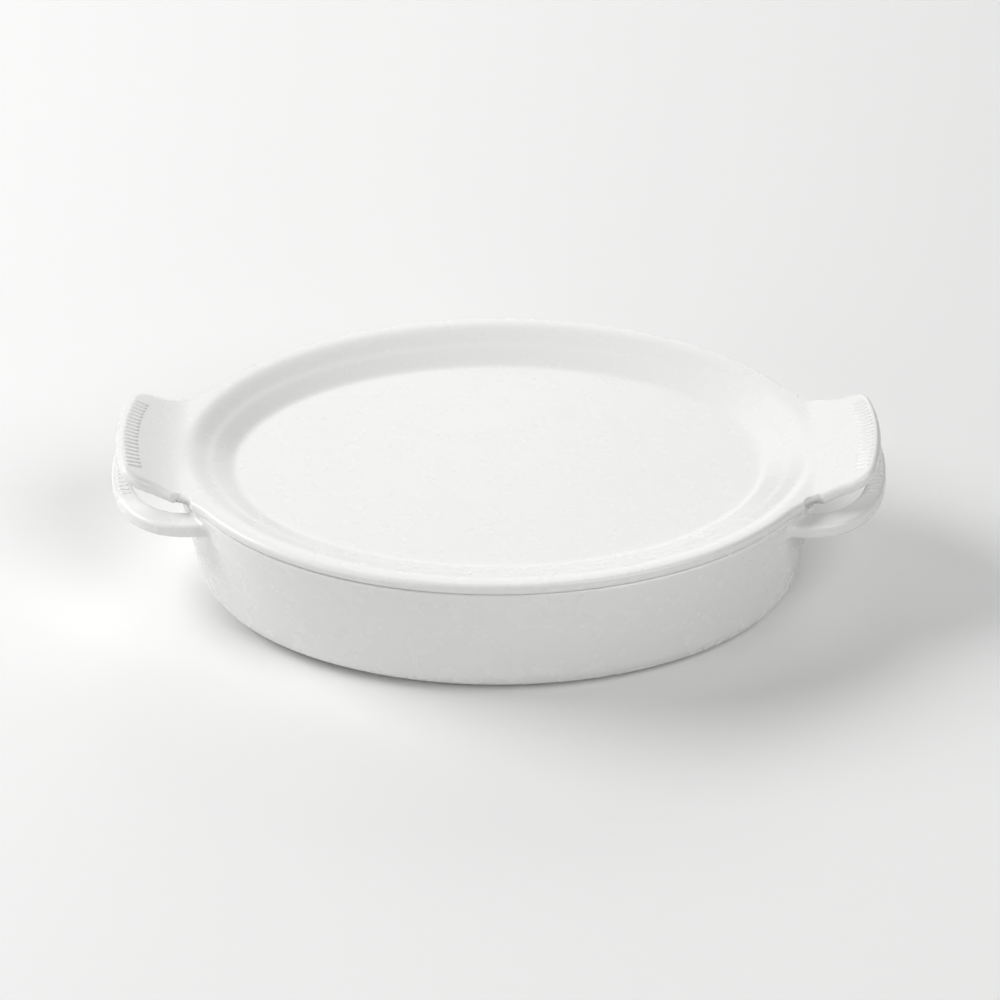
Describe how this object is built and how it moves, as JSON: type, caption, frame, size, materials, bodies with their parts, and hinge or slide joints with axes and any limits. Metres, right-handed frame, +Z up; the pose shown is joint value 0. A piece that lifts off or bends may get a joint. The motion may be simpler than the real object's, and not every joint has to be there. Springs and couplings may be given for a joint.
{
  "type": "covered casserole dish",
  "caption": "Oval glazed stoneware baking dish with open loop handles and a platter lid whose wing handles turn up at the tips.",
  "frame": {"origin": "centre of the footprint, on the surface that the dish stands on", "axes": "+X along the handles, +Y across the oval, +Z up"},
  "size_m": [0.4056, 0.25, 0.0881],
  "materials": {
    "white_glaze": "gloss"
  },
  "bodies": {
    "dish": {"dish": "white_glaze"},
    "lid": {"lid": "white_glaze"}
  },
  "joints": [
    {"name": "lid_lift", "type": "slide", "parent": "dish", "child": "lid", "axis": [0, 0, 1], "range_m": [0, 0.12]}
  ]
}
